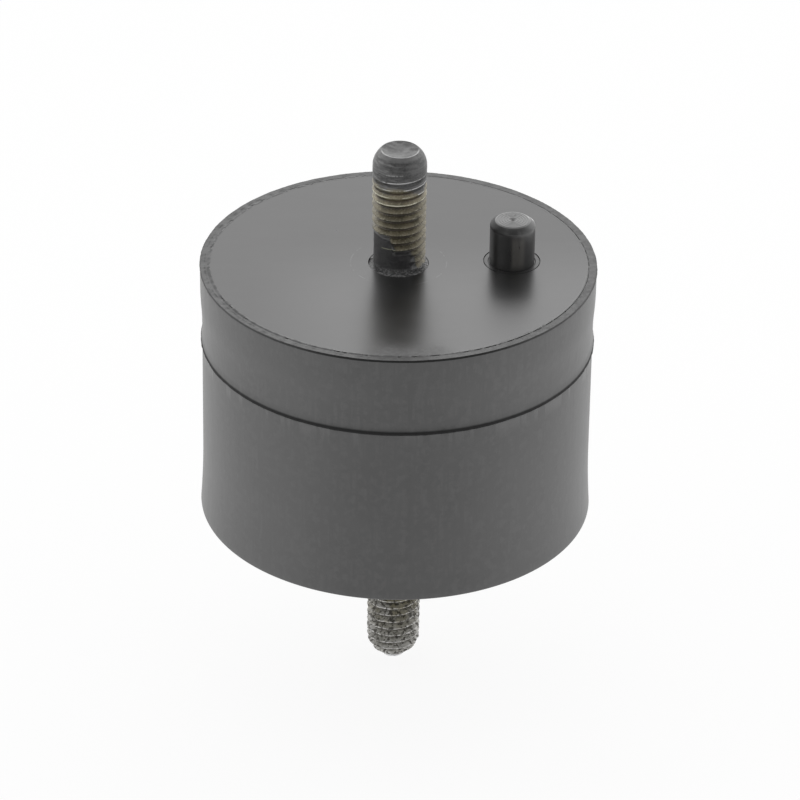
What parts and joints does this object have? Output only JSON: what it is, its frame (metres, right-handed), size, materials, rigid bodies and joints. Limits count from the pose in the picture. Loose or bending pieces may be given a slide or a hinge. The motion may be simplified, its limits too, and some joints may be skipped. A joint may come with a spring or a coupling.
{
  "type": "engine mount",
  "caption": "Round rubber block bonded between steel plates, with a threaded stud on the axis at each end and a smooth locating pin beside the upper stud.",
  "frame": {"origin": "centre of the lower seating face, where the lower stud's axis crosses it", "axes": "+Z along the mount's axis from the lower stud to the upper stud, +X from the axis to the locating pin"},
  "size_m": [0.072, 0.072, 0.1065],
  "materials": {
    "rubber": "moulded, satin",
    "plate_coating": "thin black coating, satin",
    "stud_steel": "rolled thread, dull plating with dark coating in the roots",
    "pin_steel": "black coated, semi-gloss"
  },
  "bodies": {
    "root": {"rubber_body": "rubber", "upper_plate": "plate_coating", "lower_plate": "plate_coating", "upper_stud": "stud_steel", "lower_stud": "stud_steel", "locating_pin": "pin_steel"}
  },
  "joints": []
}
